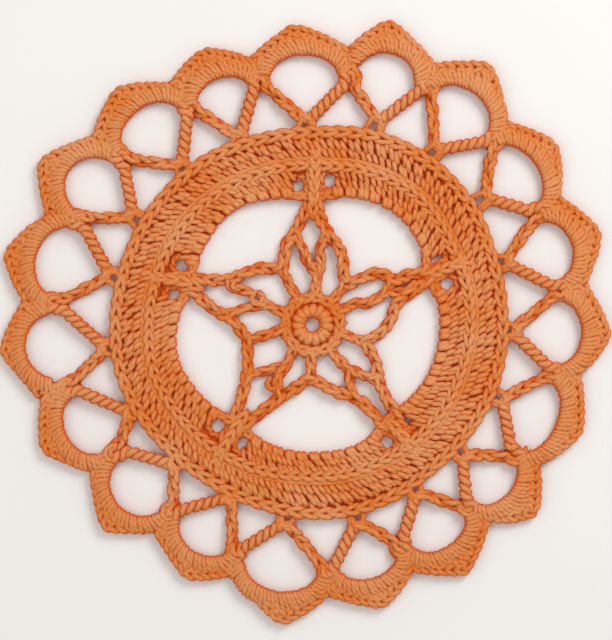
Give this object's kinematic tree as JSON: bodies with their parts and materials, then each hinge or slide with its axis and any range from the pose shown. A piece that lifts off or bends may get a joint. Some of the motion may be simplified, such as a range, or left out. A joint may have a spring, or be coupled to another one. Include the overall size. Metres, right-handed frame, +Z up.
{
  "type": "crocheted lace doily",
  "caption": "Round openwork doily crocheted in orange cotton yarn, with a star in the middle and a scalloped edge, lying flat to protect or dress a table.",
  "frame": {"origin": "under the middle of the doily's outline, on the surface that it lies on", "axes": "+Z up, out of the doily's face; seen from above +X is right and +Y is away, along the star point at the top of the picture"},
  "size_m": [0.2143, 0.2118, 0.0044],
  "materials": {
    "yarn": "matte, softly fuzzy two-ply cotton yarn"
  },
  "bodies": {
    "root": {"doily": "yarn"}
  },
  "joints": []
}
